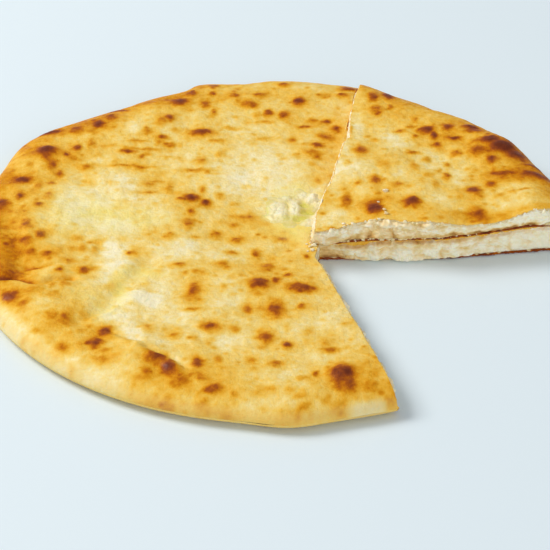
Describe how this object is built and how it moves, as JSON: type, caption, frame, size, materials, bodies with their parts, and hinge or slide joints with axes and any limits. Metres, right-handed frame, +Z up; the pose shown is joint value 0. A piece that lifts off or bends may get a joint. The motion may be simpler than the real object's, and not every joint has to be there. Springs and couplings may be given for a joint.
{
  "type": "ossetian pie",
  "caption": "Flat round pie of thin baked dough filled with curd cheese, cut into wedges, one wedge taken out and a slice laid on its neighbour.",
  "frame": {"origin": "centre of the round pie on its flat underside, where it rests", "axes": "+Z up through the pie's thickness, -Y to the front where the missing wedge and the slices' cut faces are seen, +X to the right where the slices lie"},
  "size_m": [0.3115, 0.3156, 0.0265],
  "materials": {
    "crust": "baked dough, golden with brown blisters, slightly buttery",
    "curd": "moist crumbly curd cheese"
  },
  "bodies": {
    "root": {"main_dough": "crust", "main_filling": "curd", "lower_slice_dough": "crust", "lower_slice_filling": "curd", "upper_slice_dough": "crust", "upper_slice_filling": "curd"}
  },
  "joints": []
}
